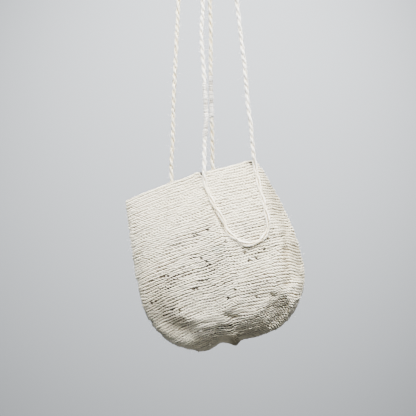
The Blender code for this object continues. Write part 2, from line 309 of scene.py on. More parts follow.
def spun_yarn(name, ply_length, stops, plies=2):
    """Hand-spun plant fibre, undyed and matt: plies that wind round the yarn, short
    fibres along them, and a tone that goes browner deep between the stitches as painted shade."""
    made, tree, shader = new_material(name, YARN_ROUGHNESS, YARN_SHEEN, YARN_SPECULAR)
    uv = add(tree, "UVMap", {"uv_map": "along_yarn"})
    split = add(tree, "SeparateXYZ", links={0: uv.outputs["UV"]})
    along = add(tree, "Math", {"operation": "MULTIPLY"}, {1: 1 / ply_length},
                {0: split.outputs["X"]})
    wound_round = add(tree, "Math", {"operation": "MULTIPLY_ADD"}, {1: float(plies)},
                      {0: split.outputs["Y"], 2: along.outputs[0]})
    turn = add(tree, "Math", {"operation": "MULTIPLY"}, {1: TURN}, {0: wound_round.outputs[0]})
    groove = add(tree, "Math", {"operation": "COSINE"}, None, {0: turn.outputs[0]})
    place = add(tree, "TexCoord").outputs["Object"]
    fibres = add(tree, "TexNoise", None, FIBRES, {"Vector": place})
    height = add(tree, "Math", {"operation": "MULTIPLY_ADD"}, {1: FIBRE_RELIEF},
                 {0: fibres.outputs["Fac"], 2: groove.outputs[0]})
    bump = add(tree, "Bump", None, RELIEF, {"Height": height.outputs[0]})
    tree.links.new(bump.outputs[0], shader.inputs["Normal"])

    # The tone attribute: painted shade in crevices and folds, with the yarn's own uneven tone
    tone = add(tree, "Attribute", {"attribute_name": "tone"})
    patches = add(tree, "TexNoise", None, PATCHES, {"Vector": place})
    swing = add(tree, "Math", {"operation": "MULTIPLY_ADD"},
                {1: PATCH_TONE, 2: -PATCH_TONE / 2}, {0: patches.outputs["Fac"]})
    shaded = add(tree, "Math", {"operation": "ADD", "use_clamp": True}, None,
                 {0: tone.outputs["Fac"], 1: swing.outputs[0]})
    colour = add(tree, "ValToRGB", None, None, {0: shaded.outputs[0]})
    band = colour.color_ramp.elements
    while len(band) < len(stops):
        band.new(0.5)
    for element, (at, code) in zip(band, stops):
        element.position = at
        element.color = linear(code)
    dye = add(tree, "Attribute", {"attribute_name": "dye"})
    tinted = add(tree, "Mix", {"data_type": "RGBA"}, {7: linear(DYE)},
                 {"Factor": dye.outputs["Fac"], 6: colour.outputs["Color"]})
    tree.links.new(tinted.outputs[2], shader.inputs["Base Color"])
    return made


# The wall, as in the solids, for whole arrays of places at once

def between(p0, p1, p2, p3, share):
    """A smooth curve through four values, from the second to the third."""
    slope1, slope2 = (p2 - p0) / 2, (p3 - p1) / 2
    s2, s3 = share * share, share ** 3
    return (p1 * (2 * s3 - 3 * s2 + 1) + slope1 * (s3 - 2 * s2 + share)
            + p2 * (3 * s2 - 2 * s3) + slope2 * (s3 - s2))


TABLE = np.array(SECTIONS, dtype=float)
LAST = len(SECTIONS) - 1


def section_at(row):
    """The section's seven sizes at row numbers, as one array for each size."""
    row = np.clip(row, 0, LAST)
    low = np.minimum(row.astype(int), LAST - 1)
    share = (row - low)[..., None]
    picks = [TABLE[np.clip(low + i, 0, LAST)] for i in (-1, 0, 1, 2)]
    return Section(*np.moveaxis(between(*picks, share), -1, 0))


DOWN_TABLE_ROWS = np.linspace(0, LAST, 1200)
DOWN_TABLE = section_at(DOWN_TABLE_ROWS).down


def row_at(down):
    return np.interp(down, DOWN_TABLE, DOWN_TABLE_ROWS)


def fold_depth(folds, right, down):
    depth = np.zeros(np.broadcast(right, down).shape)
    for fold in folds:
        across, below = fold.right1 - fold.right0, fold.down1 - fold.down0
        from0, below0 = right - fold.right0, down - fold.down0
        share = (from0 * across + below0 * below) / (across ** 2 + below ** 2)
        share = np.clip(share, 0, 1)
        apart = (from0 - across * share) ** 2 + (below0 - below * share) ** 2
        depth += fold.depth * np.exp(-apart / fold.width ** 2)
    return depth


def tucked_share(right, down):
    """How much of the front wall's reach is taken back under the belly."""
    at, start, height, share = np.array(TUCKS).T
    below = (down - np.interp(right, at, start)) / np.interp(right, at, height)
    below = np.clip(below, 0, 1)
    return np.interp(right, at, share) * below * below * (3 - 2 * below)


def bump_height(bumps, right):
    return sum(b.height * np.exp(-((right - b.right) / b.width) ** 2) for b in bumps)


def wall_local(row, angle):
    """Right, back and down in the bag's frame, in millimetres."""
    section = section_at(row)
    across, deep = np.cos(angle), np.sin(angle)
    right = (section.right - section.left) / 2 + across * (section.right + section.left) / 2
    down = section.down - section.rise * deep * deep
    shape = np.abs(deep) ** section.pinch
    soft = np.minimum(1.0, 2 * shape)
    front = -shape * section.front * (1 - tucked_share(right, down)) + soft * (
        fold_depth(FRONT_FOLDS, right, down) * np.minimum(1, section.front / FOLD_FADE))
    rear = shape * section.back - soft * (
        fold_depth(BACK_FOLDS, right, down) * np.minimum(1, section.back / FOLD_FADE))
    back = np.where(deep < 0, front, rear)
    near_rim = np.maximum(0, 1 - section.down / RIM_BAND)
    near_base = np.maximum(0, 1 - (SECTIONS[-1].down - section.down) / BASE_BAND)
    rim = np.where(deep < 0, bump_height(FRONT_RIM_BUMPS, right),
                   bump_height(BACK_RIM_BUMPS, right))
    down = down - near_rim * rim + near_base * bump_height(BASE_BUMPS, right)
    return right, back, down


def tilted(first, second):
    """Right and down as the world's x and z, or x and z as right and down."""
    return (first * math.cos(TILT) + second * math.sin(TILT),
            first * math.sin(TILT) - second * math.cos(TILT))


def to_world(right, back, down):
    x, z = tilted(right, down)
    return RIM_MIDDLE + np.stack(np.broadcast_arrays(x, back, z), -1) * MM


def to_bag(points):
    """Right and down in the bag's frame, in millimetres, of places in metres."""
    offset = (points - RIM_MIDDLE) / MM
    return tilted(offset[..., 0], offset[..., 2])


def unit(vectors):
    return vectors / np.maximum(np.linalg.norm(vectors, axis=-1, keepdims=True), 1e-12)


def wall_point(row, angle):
    return to_world(*wall_local(np.asarray(row, float), np.asarray(angle, float)))


def wall_normal(row, angle):
    step = 0.01
    along = wall_point(row + step, angle) - wall_point(row - step, angle)
    around = wall_point(row, angle + step) - wall_point(row, angle - step)
    return unit(np.cross(along, around))


# Courses of looping, laid out over the wall

# Slow waves: how many round the bag and from rim to base, where they start, and how high
# they go, as a share of the bag's height for the courses and in millimetres for the wall
Wave = namedtuple("Wave", "around along start amount")
COURSE_WAVES = table(Wave, (
    (3, 2.1, 0.4, 0.0026), (5, 3.7, 2.2, 0.0020), (8, 5.3, 4.9, 0.0014),
    (11, 9.1, 1.3, 0.0009), (17, 6.2, 3.1, 0.0007), (23, 14.0, 5.5, 0.0005),
))
SURFACE_WAVES = table(Wave, (
    (6, 4.0, 1.1, 0.28), (9, 7.3, 3.9, 0.24), (14, 5.1, 0.7, 0.20),
    (19, 12.7, 2.8, 0.16), (27, 17.9, 5.0, 0.12),
))


def ripple(waves, share, angle):
    """A few slow waves laid over the wall, the same at both ends of a turn."""
    return sum(w.amount * np.sin(w.around * angle + TURN * w.along * share + w.start)
               for w in waves)


def lay_out_courses():
    """Places and outward directions on a grid of course numbers and angles."""
    angles = np.linspace(0, TURN, ANGLES + 1)
    rows = np.linspace(0, LAST, GRID_ROWS)
    right, back, down = wall_local(rows[:, None], angles[None, :])
    level = rows[:, None] / LAST
    uneven = ripple(SURFACE_WAVES, level, angles) * np.minimum(1, 8 * (1 - level))
    grid = to_world(right, back + uneven * np.sin(angles), down)
    steps = np.linalg.norm(np.diff(grid, axis=0), axis=-1)
    share = np.concatenate([np.zeros((1, ANGLES + 1)), np.cumsum(steps, axis=0)])
    share /= share[-1]
    wanted = np.linspace(0, 1, COURSES * GRID_PER_COURSE + 1)[:, None]
    hump = np.sin(math.pi * wanted)
    wanted = wanted + COURSE_SKEW * hump * np.cos(angles)
    from_right = np.minimum(angles, TURN - angles)
    wanted = wanted + SIDE_DROP * hump * np.exp(-(from_right / SIDE_REACH) ** 2)
    wanted = wanted + np.minimum(1, 3 * hump) * ripple(COURSE_WAVES, wanted, angles)
    places = np.empty((len(wanted), ANGLES + 1, 3))
    for k in range(ANGLES + 1):
        index = np.interp(wanted[:, k], share[:, k], np.arange(len(rows)))
        low = np.minimum(index.astype(int), len(rows) - 2)
        part = (index - low)[:, None]
        places[:, k] = grid[low, k] * (1 - part) + grid[low + 1, k] * part
    down_step = np.gradient(places, axis=0)
    around = np.empty_like(places)
    around[:, 1:-1] = places[:, 2:] - places[:, :-2]
    around[:, 0] = around[:, -1] = places[:, 1] - places[:, -2]
    outward = unit(np.cross(down_step, around))
    return places, outward


PLACES, OUTWARD = lay_out_courses()


def sample(grid, course, turn):
    """A grid's value at course numbers and shares of a turn."""
    row = course * GRID_PER_COURSE
    low = np.clip(np.floor(row).astype(int), 0, grid.shape[0] - 2)
    part = (row - low)[..., None]
    column = (turn % 1.0) * ANGLES
    left = np.clip(np.floor(column).astype(int), 0, ANGLES - 1)
    side = (column - left)[..., None]
    upper = grid[low, left] * (1 - side) + grid[low, left + 1] * side
    lower = grid[low + 1, left] * (1 - side) + grid[low + 1, left + 1] * side
    return upper * (1 - part) + lower * part


def course_turns(course):
    """The course's length, and its angle's share of a turn at each share of it."""
    ring = sample(PLACES, np.full(ANGLES + 1, float(course)), np.arange(ANGLES + 1) / ANGLES)
    ring[-1] = ring[0]
    steps = np.linalg.norm(np.diff(ring, axis=0), axis=-1)
    length = np.concatenate([[0], np.cumsum(steps)])
    return length[-1], length / length[-1], np.arange(ANGLES + 1) / ANGLES


def stitch_counts():
    """How many stitches each course has: the same as the one above, until they would be
    far too wide or too narrow."""
    counts = [round(course_turns(0.5)[0] / (RIM_STITCH * STITCH))]
    for number in range(1, COURSES):
        length = course_turns(number + 0.5)[0]
        steady = abs(length / counts[-1] / STITCH - 1) < COUNT_HOLDS
        anew = max(FEWEST_STITCHES, round(length / STITCH))
        counts.append(counts[-1] if steady else anew)
    return counts


STITCHES = stitch_counts()


# Tubes of yarn as joined meshes

def tube_arrays(path, side, up, radius, sides, closed):
    """Points, quads and UV corners of one tube along a path with its two cross axes."""
    count = len(path)
    angles = np.arange(sides) / sides * TURN
    ring = (np.cos(angles)[None, :, None] * side[:, None]
            + np.sin(angles)[None, :, None] * up[:, None])
    points = path[:, None] + ring * np.reshape(radius, (-1, 1, 1))
    links = count if closed else count - 1
    i = np.arange(links)[:, None]
    j = np.arange(sides)[None, :]
    following, beside = (i + 1) % count, (j + 1) % sides
    quads = np.stack([i * sides + j, i * sides + beside, following * sides + beside,
                      following * sides + j], -1).reshape(-1, 4)
    steps = np.linalg.norm(np.diff(path, axis=0, append=path[:1]), axis=-1)
    along = np.concatenate([[0], np.cumsum(steps)])
    here, there, low = along[i] + 0 * j, along[i + 1] + 0 * j, j + 0 * i
    u = np.stack([here, here, there, there], -1).reshape(-1, 4)
    v = np.stack([low, low + 1, low + 1, low], -1).reshape(-1, 4) / sides
    return points.reshape(-1, 3), quads, np.stack([u, v], -1)


def joined_mesh(name, tubes, tones, material, dyes=None):
    """One object from many tubes: rings where they are dyed, else cords with two ends."""
    made = bpy.data.meshes.new(name)
    points = np.concatenate([t[0] for t in tubes])
    starts = np.cumsum([0] + [len(t[0]) for t in tubes])[:-1]
    quads = np.concatenate([t[1] + s for t, s in zip(tubes, starts)])
    corners = np.concatenate([t[2] for t in tubes]).reshape(-1, 2)
    made.vertices.add(len(points))
    made.vertices.foreach_set("co", points.astype(np.float32).ravel())
    made.loops.add(len(quads) * 4)
    made.loops.foreach_set("vertex_index", quads.astype(np.int32).ravel())
    made.polygons.add(len(quads))
    made.polygons.foreach_set("loop_start", np.arange(0, len(quads) * 4, 4, dtype=np.int32))
    made.update(calc_edges=True)
    uv = made.uv_layers.new(name="along_yarn")
    uv.uv.foreach_set("vector", corners.astype(np.float32).ravel())
    for label, values in (("tone", tones), ("dye", 0 * tones if dyes is None else dyes)):
        layer = made.attributes.new(label, "FLOAT", "POINT")
        layer.data.foreach_set("value", values.astype(np.float32))
    if dyes is None:
        close_ends(made)
    made.shade_smooth()
    made.materials.append(material)
    made.validate()
    return put_in_scene(name, made)


def close_ends(data):
    mesh = bmesh.new()
    mesh.from_mesh(data)
    open_edges = [e for e in mesh.edges if len(e.link_faces) == 1]
    bmesh.ops.holes_fill(mesh, edges=open_edges, sides=0)
    bmesh.ops.recalc_face_normals(mesh, faces=mesh.faces)
    mesh.to_mesh(data)
    mesh.free()


# Loose stitches: places in millimetres right of and below the rim's middle where the
# yarn stands apart and the painted shade of the sheet behind shows.
LOOSE_STITCHES = (
    (-13.7, 63.7), (-10.4, 63.7), (3.3, 61.9), (19.0, 80.9), (-13.7, 90.7), (-8.9, 96.6),
    (-6.0, 100.8), (-65.5, 98.7), (-61.6, 99.1), (-56.9, 99.8), (-23.9, 115.9),
    (-19.8, 116.2), (-14.7, 117.2), (-32.6, 123.0), (-28.7, 123.5), (-85.2, 125.2),
    (-80.1, 124.7), (-55.9, 142.4), (3.5, 144.9), (35.3, 153.2), (37.0, 99.9),
    (39.8, 109.8), (59.9, 103.2), (48.0, 109.8), (-64.2, 139.8), (13.8, 138.1),
)
SLOTS = ((15.8, -5.0), (16.0, -2.8), (75.9, 0.2), (76.2, 2.6))  # beside the straps
OPEN_PUSH = 1.3  # how far the yarn is pushed from each, in millimetres

# Soft round spots on the front, in millimetres, and how slack the looping is there
Spot = namedtuple("Spot", "right down wide high amount")
LOOSE_ZONES = table(Spot, (
    (-8, 96, 44, 26, 0.80), (46, 98, 26, 22, 0.55), (-58, 110, 30, 24, 0.85),
    (-20, 132, 60, 20, 0.60), (48, 76, 16, 12, 0.60), (-30, 66, 30, 9, 0.60),
    (30, 140, 34, 14, 0.45), (-70, 128, 22, 22, 0.75), (-66, 154, 14, 14, 0.40),
    (-58, 146, 24, 12, 0.60), (62, 166, 12, 12, 0.55), (15.9, -4, 4, 5, 1.0),
    (74.8, 1, 4, 5, 1.0), (-6, 176, 44, 8, 0.80), (70, 90, 10, 40, 0.40),
))
LOOSE_THINS = 0.34  # how much thinner slack yarn is
SHADE_REACH = 5.0  # round an open stitch the cloth behind carries painted shade
SHADE = 0.9  # how dark the painted shade is there

# Painted shade on the front, and how much: spots where the wall lies in shade, and lines
# along folds and beside the strap, whose depth is how dark they are painted
PAINTED_SHADE_ZONES = table(Spot, (
    (92, 40, 11, 46, 0.42), (94, 118, 11, 34, 0.38), (-74, 122, 24, 34, 0.26),
    (0, 198, 75, 12, 0.34), (-5, 199, 10, 14, 0.60), (57, 172, 14, 16, 0.14),
    (-66, 157, 16, 13, 0.32), (-48, 187, 15, 9, 0.28),
))
PAINTED_SHADE_LINES = table(Fold, (
    ("side fold, upper", 89, 92, 84, 111, 4.4, 0.20),
    ("side fold, lower", 84, 111, 75, 150, 4.4, 0.22),
    ("beside the strap, upper", 13.0, 12, 15.8, 40, 1.2, 0.34),
    ("beside the strap, lower", 15.8, 40, 22.0, 70, 1.2, 0.40),
))
HOLE_REACH = 1.35  # how far round a loose place the yarn gives way
HOLE_DEPTH = 0.7  # how far it sinks there
HOLE_THINS = 0.55  # how much thinner it is drawn there
LOOSE_RUNS = 165  # rows of stitches that stand a little apart
RUN_STITCHES = (2, 7)  # how many are in a row, the second left out
RUN_SPREAD = 0.6  # how far rows stray from a zone's middle, in its sizes
RUN_PUSH = (0.10, 0.55)  # how far their yarn is pushed, in millimetres
DYE_SPOTS = (Spot(7, 87, 6, 2.5, 0.40), Spot(15, 86.5, 4, 2, 0.30))


def loose_places(random):
    """Runs of neighbouring stitches, between two courses, in the loose zones."""
    front = ANGLES // 2
    right, down = to_bag(PLACES[::GRID_PER_COURSE, front:])
    amounts = np.array([zone.amount * zone.wide * zone.high for zone in LOOSE_ZONES])
    found = []
    for zone in random.choice(len(LOOSE_ZONES), LOOSE_RUNS, p=amounts / amounts.sum()):
        zone = LOOSE_ZONES[zone]
        aim = np.array((zone.right, zone.down)) + (
            RUN_SPREAD * random.standard_normal(2) * (zone.wide, zone.high))
        course, column = np.unravel_index(
            np.argmin(np.hypot(right - aim[0], down - aim[1])), right.shape)
        length = course_turns(float(course))[0]
        turn = (column + front) / ANGLES
        for k in range(random.integers(*RUN_STITCHES)):
            place = sample(PLACES, np.array([float(course)]),
                           np.array([turn + k * STITCH / length]))
            found.append(np.array(to_bag(place))[:, 0])
    return np.array(found)


def open_up(points, right, down, front, holes, push):
    """Moves yarn away from each loose place on the front, in the bag's own plane, and
    tells how near to one each point lies, from 0 to 1."""
    shift_right, shift_down = np.zeros(len(points)), np.zeros(len(points))
    nearness = np.zeros(len(points))
    for (hole_right, hole_down), strength in zip(holes, push):
        near = front & (np.abs(right - hole_right) < 3 * HOLE_REACH) & (
            np.abs(down - hole_down) < 3 * HOLE_REACH)
        across, below = right[near] - hole_right, down[near] - hole_down
        apart = np.hypot(across, below) + 1e-6
        shift = strength * np.exp(-(apart / HOLE_REACH) ** 2)
        shift_right[near] += across / apart * shift
        shift_down[near] += below / apart * shift
        nearness[near] = np.maximum(nearness[near], shift)
    x, z = tilted(shift_right, shift_down)
    return points + np.stack([x, np.zeros(len(x)), z], -1) * MM, np.minimum(1, nearness)


def blobs(spots, right, down):
    """How far places lie inside soft round spots, from 0 to 1."""
    inside = np.zeros(np.broadcast(right, down).shape)
    for spot in spots:
        apart = ((right - spot.right) / spot.wide) ** 2 + ((down - spot.down) / spot.high) ** 2
        inside = np.maximum(inside, spot.amount * np.exp(-apart))
    return inside


def wander(random, count, knots, amount):
    """A slow random change along a course that ends as it began."""
    values = random.normal(0, amount, knots)
    return np.interp(np.arange(count) / count * knots, np.arange(knots + 1),
                     np.append(values, values[0]))


def looped_course(number, random, holes, push):
    """One course of looping: each stitch slants across the course in front and goes
    back up behind, hooked over the course before."""
    share, turns = course_turns(number + 0.5)[1:]
    count = STITCHES[number]
    whole = count * POINTS_PER_STITCH
    step = np.arange(whole) / POINTS_PER_STITCH
    which = step.astype(int)
    t = (step % 1.0) * TURN

    def uneven(amount):
        return amount * random.standard_normal(count)[which]

    shift = UNEVEN_PITCH * random.standard_normal(count)
    shift = shift[which] * (1 - step % 1.0) + np.roll(shift, -1)[which] * (step % 1.0)
    lead = number * (0.5 + 2 * SLANT)          # each stitch hooks over one above
    along = (step + lead + shift - SLANT * np.cos(t)) / count
    turn = np.interp(along % 1.0, share, turns)
    reach = REACH * (1 + uneven(UNEVEN_REACH))
    drift = wander(random, whole, *ROW_DRIFT) + uneven(UNEVEN_ROW)
    course = np.clip(number + 0.5 + drift - reach * np.cos(t), 0.0, COURSES - 0.05)
    middle = sample(PLACES, course, turn)
    outward = unit(sample(OUTWARD, course, turn))
    depth = YARN_AT + PROUD * (1 + uneven(UNEVEN_PROUD)) * np.sin(t)
    depth += (1 - np.abs(outward[:, 1])) * wander(random, whole, *EDGE_DRIFT)
    path = middle + outward * (depth * MM)[:, None]
    right, down = to_bag(path)
    front = outward[:, 1] < 0
    path, near = open_up(path, right, down, front, holes, push)
    path -= outward * (HOLE_DEPTH * MM * near)[:, None]
    ahead = unit(np.roll(path, -1, axis=0) - np.roll(path, 1, axis=0))
    side = unit(np.cross(ahead, outward))
    up = np.cross(side, ahead)
    thick = YARN / 2 * (1 + PLUMP * np.sin(t) - NECK * np.cos(t) ** 2
                        + uneven(UNEVEN_YARN) + wander(random, whole, *YARN_DRIFT))
    loose = blobs(LOOSE_ZONES, right, down) * front
    thick *= (1 - LOOSE_THINS * loose) * (1 - HOLE_THINS * near)
    tube = tube_arrays(path, side, up, thick, YARN_SIDES, True)

    # Painted shade: the deeper a point lies in the wall, between the stitches, the browner it
    # is
    lift = tube[0].reshape(-1, YARN_SIDES, 3) - middle[:, None]
    height = np.einsum("ijk,ik->ij", lift, outward) / MM
    tone = TONE_AT_MIDDLE + DEPTH_SHADE_SLOPE * (height + WALL / 2)
    # The yarn's own uneven tone, and painted shade beside open stitches
    tone += (uneven(UNEVEN_TONE) + wander(random, whole, *TONE_DRIFT)
             - HOLE_SHADE * near)[:, None]
    # Painted shade where the front lies in shade, along its folds and beside the strap
    painted_shade = (blobs(PAINTED_SHADE_ZONES, right, down) + fold_depth(PAINTED_SHADE_LINES, right, down)) * front
    tone = np.clip(tone, 0, 1) - painted_shade[:, None]
    dye = blobs(DYE_SPOTS, right, down) * front
    return tube, np.clip(tone, 0, 1).ravel(), np.repeat(dye, YARN_SIDES)


def looped_cloth(material, random, holes, push):
    pieces = []
    per_piece = math.ceil(COURSES / PIECES)
    for k in range(PIECES):
        courses = range(k * per_piece, min((k + 1) * per_piece, COURSES))
        made = [looped_course(n, random, holes, push) for n in courses]
        pieces.append(joined_mesh(
            f"looped_courses_{k + 1}", [m[0] for m in made],
            np.concatenate([m[1] for m in made]), material,
            np.concatenate([m[2] for m in made])))
    return pieces


def bag_cloth(material, holes):
    """The cloth as one thin sheet that the stitches run through, painted dark as shade and
    darker where they are loose, and joined front to back along the base line."""
    columns = CLOTH_COLUMNS
    mesh = bmesh.new()
    rings = []
    for course in range(COURSES):
        _, share, turns = course_turns(float(course))
        turn = np.interp(np.arange(columns) / columns, share, turns)
        level = np.full(columns, float(course))
        places = sample(PLACES, level, turn) - unit(sample(OUTWARD, level, turn)) * (
            (WALL / 2 + CLOTH_BEHIND) * MM)
        rings.append([mesh.verts.new(p) for p in places])
    half = columns // 2
    turn, level = np.arange(half + 1) / columns, np.full(half + 1, BASE_LINE)
    line = [mesh.verts.new(p) for p in sample(PLACES, level, turn)]
    for vertex, other in zip(line, sample(PLACES, level, 1 - turn)):
        vertex.co = (vertex.co + Vector(other)) / 2
    rings.append([line[k] if k <= half else line[columns - k] for k in range(columns)])
    for upper, lower in zip(rings, rings[1:]):
        for k in range(columns):
            following = (k + 1) % columns
            mesh.faces.new((upper[k], lower[k], lower[following], upper[following]))
    bmesh.ops.recalc_face_normals(mesh, faces=mesh.faces)
    data = bpy.data.meshes.new("bag_cloth")
    mesh.to_mesh(data)
    mesh.free()
    data.shade_smooth()
    places = np.array([v.co for v in data.vertices])
    right, down = to_bag(places)
    apart = np.hypot(right[:, None] - holes[:, 0], down[:, None] - holes[:, 1]).min(axis=1)
    loose = np.maximum(blobs(LOOSE_ZONES, right, down), np.exp(-(apart / SHADE_REACH) ** 2))
    loose *= places[:, 1] < 0
    # Painted shade: darker in the loose zones and round open stitches
    data.attributes.new("tone", "FLOAT", "POINT").data.foreach_set(
        "value", (1.0 - SHADE * loose).astype(np.float32))
    data.materials.append(material)
    body = put_in_scene("bag_cloth", data)
    thickness = body.modifiers.new("thickness", "SOLIDIFY")
    thickness.thickness = CLOTH
    thickness.offset = 0
    return body


# Straps

BETWEEN = 24  # short lines between two points of a route


def place_on_wall(right, down, side):
    """The row and angle of a place right of and below the rim's middle."""
    row, angle = row_at(down), 0.0
    for _ in range(12):
        section = section_at(np.asarray(row))
        middle = (section.right - section.left) / 2
        across = (right - middle) / ((section.right + section.left) / 2)
        angle = side * math.acos(min(max(across, -WALL_END), WALL_END))
        row = row_at(down + section.rise * math.sin(angle) ** 2)
    return row, angle


def strap_on_wall(right, down, side):
    """Where the cord's middle lies when it touches the wall at such a place."""
    aim = np.array([right, down], float)
    for _ in range(6):
        row, angle = place_on_wall(aim[0], aim[1], side)
        found = wall_point(row, angle) + wall_normal(row, angle) * (STRAP / 2 + STRAP_CLEAR)
        aim += np.array([right, down]) - np.array(to_bag(found))
    return found


def smooth_route(points, step):
    """A smooth line through points, with even steps, and its length."""
    points = [np.array(p, float) for p in points]
    ends = [points[0] * 2 - points[1]] + points + [points[-1] * 2 - points[-2]]
    fine = []
    for i in range(len(points) - 1):
        fine += [between(*ends[i:i + 4], k / BETWEEN) for k in range(BETWEEN)]
    fine = np.array(fine + [points[-1]])
    length = np.concatenate([[0], np.cumsum(np.linalg.norm(np.diff(fine, axis=0), axis=1))])
    places = np.linspace(0, length[-1], max(2, round(length[-1] / step)) + 1)
    route = np.stack([np.interp(places, length, fine[:, k]) for k in range(3)], -1)
    return route, length[-1]


def facing_axes(route, outward):
    """Two cross axes along a route: one in the wall's plane, and one out from it."""
    ahead = unit(np.gradient(route, axis=0))
    out = np.array(outward) - ahead * (ahead @ np.array(outward))[:, None]
    up = unit(out)
    return unit(np.cross(ahead, up)), up


def wound(route, side, up, wide, high, phase):
    """A path that winds round a route, with its own cross axes."""
    out = (np.reshape(wide, (-1, 1)) * np.cos(phase)[:, None] * side
           + np.reshape(high, (-1, 1)) * np.sin(phase)[:, None] * up)
    path = route + out
    ahead = unit(np.gradient(path, axis=0))
    cross = unit(np.cross(ahead, out))
    return path, cross, np.cross(cross, ahead)


def changing(random, distance, knots, amount):
    """A random change along a cord, even from one knot to the next."""
    return np.interp(distance, np.linspace(0, distance[-1], knots),
                     random.normal(0, amount, knots))


def tone_from_middle(tube, sides, route, full, slope, start):
    """A tube's tone, paler the further it stands from the middle of its cord: painted shade.
    """
    away = np.linalg.norm(tube[0].reshape(-1, sides, 3) - route[:, None], axis=-1)
    return away / (full / 2) * slope + start


def twisted_strap(name, rise, on_wall, to_whipping, facing, material, random):
    """Two plies of three yarns each. On the wall the twist opens and lies flatter."""
    on_it = [strap_on_wall(*place, facing) for place in on_wall]
    rise, to_whipping = ([np.array(p) * MM for p in part] for part in (rise, to_whipping))
    route, length = smooth_route(rise + on_it + to_whipping, ROUTE_STEP)
    side, up = facing_axes(route, (0.0, facing, 0.0))
    distance = np.linspace(0, length, len(route))
    first, last = (distance[np.argmin(np.linalg.norm(route - p, axis=1))]
                   for p in (on_it[0], on_it[-1]))
    flat = 1 / (1 + np.exp(-(distance - first) / FLATTENS_OVER))
    flat = flat / (1 + np.exp((distance - last) / FLATTENS_OVER))
    pace = 1 / (PLY_TURN * (1 + WALL_SLOWER * flat))
    turned = np.cumsum(pace) * (distance[1] - distance[0])
    uneven = changing(random, distance, *TWIST_DRIFT)
    bend = np.exp(-((distance - (first + last) / 2) / BEND_HALF) ** 2)
    centre = route - up * (flat * (WALL_SINK - BEND_RISES * bend))[:, None]
    ply_wide = PLY_OFFSET * (1 + PLY_OPENS * flat + BEND_OPENS * flat * bend)
    ply_high = PLY_OFFSET * (1 - PLY_FLATTENS * flat)
    yarn_wide = YARN_OFFSET * (1 + YARN_OPENS * flat)
    yarn_high = YARN_OFFSET * (1 - YARN_FLATTENS * flat)
    tubes, tones = [], []
    for ply in range(PLIES):
        phase = TURN * (turned + ply / PLIES) + uneven
        path, across, above = wound(centre, side, up, ply_wide, ply_high, phase)
        for yarn in range(PLY_YARNS):
            turn = -TURN * (distance / YARN_TURN + yarn / PLY_YARNS) + PLY_START * ply
            line, cross, out = wound(path, across, above, yarn_wide, yarn_high, turn)
            lumps = changing(random, distance, *LUMP_DRIFT)
            thick = STRAP_YARN / 2 * (
                1 + lumps + UNEVEN_STRAP * random.standard_normal(len(route)))
            thick *= 1 - ARM_THINNER * flat * (1 - bend)
            tube = tube_arrays(line, cross, out, thick, STRAP_YARN_SIDES, False)
            tone = tone_from_middle(tube, STRAP_YARN_SIDES, centre, STRAP, *STRAP_TONE)
            tubes.append(tube)
            tones.append(np.clip(tone - (WALL_TONE * flat)[:, None], 0, 1).ravel())
    return joined_mesh(name, tubes, np.concatenate(tones), material), centre, length


def wound_whipping(name, points, material, random):
    """Close, slightly uneven turns of thread round the cord, from end to end."""
    route, length = smooth_route([np.array(p) * MM for p in points], THREAD_STEP)
    side, up = facing_axes(route, (0.0, -1.0, 0.0))
    distance = np.linspace(0, length, len(route))

    def uneven(amount):
        return changing(random, distance, round(length / THREAD) + 1, amount)

    phase = TURN * distance / (THREAD * THREAD_PITCH) + uneven(UNEVEN_TURN)
    ends = np.minimum(1, np.minimum(distance, length - distance) / END_TAPER + END_SHARE)
    radius = (WHIPPING - THREAD) / 2 * ends * (1 + uneven(UNEVEN_WINDING))
    path, across, above = wound(route, side, up, radius, radius, phase)
    thick = THREAD / 2 * (1 + uneven(UNEVEN_THREAD))
    tube = tube_arrays(path, across, above, thick, THREAD_SIDES, False)
    tone = tone_from_middle(tube, THREAD_SIDES, route, WHIPPING, *WHIPPING_TONE)
    tone += uneven(UNEVEN_THREAD_TONE)[:, None]
    inside = slice(None, None, CORE_EVERY)
    core = tube_arrays(route[inside], side[inside], up[inside],
                       np.full(len(route[inside]), WHIPPING / 2 - THREAD), CORE_SIDES, False)
    tones = np.concatenate([np.clip(tone, 0, 1).ravel(), np.full(len(core[0]), CORE_SHADE)])
    return joined_mesh(name, [tube, core], tones, material)


# Stray fibres

FIBRE = 0.065 * MM  # half the thickness of a stray fibre at its root
FIBRE_TAPER = (1.0, 0.9, 0.7, 0.35)
FIBRE_SIDES, FIBRE_CURL, FIBRE_TONE = 3, 0.5, 0.95
NOT_ALONG = (0.31, 0.52, 0.79)  # unlike any fibre's direction
# How many fibres, their least length, its scale, and how far they lean
Hair = namedtuple("Hair", "count least scale spread")
CLOTH_HAIR = Hair(3600, 0.9 * MM, 0.65, 0.9)
FRONT_HAIR = Hair(1100, 1.0 * MM, 0.8, 0.6)
BACK_HAIR = Hair(900, 1.0 * MM, 0.8, 0.6)
HAIR_SHAPE = 2.5  # most fibres are short, and a few are long
CLOTH_ROOTS = 0.6  # millimetres below the wall's face
CORD_ROOTS = 0.36  # out from the cord's middle, as a share of the cord
CORD_LEAN = 0.5  # how far a cord's fibres lie along it


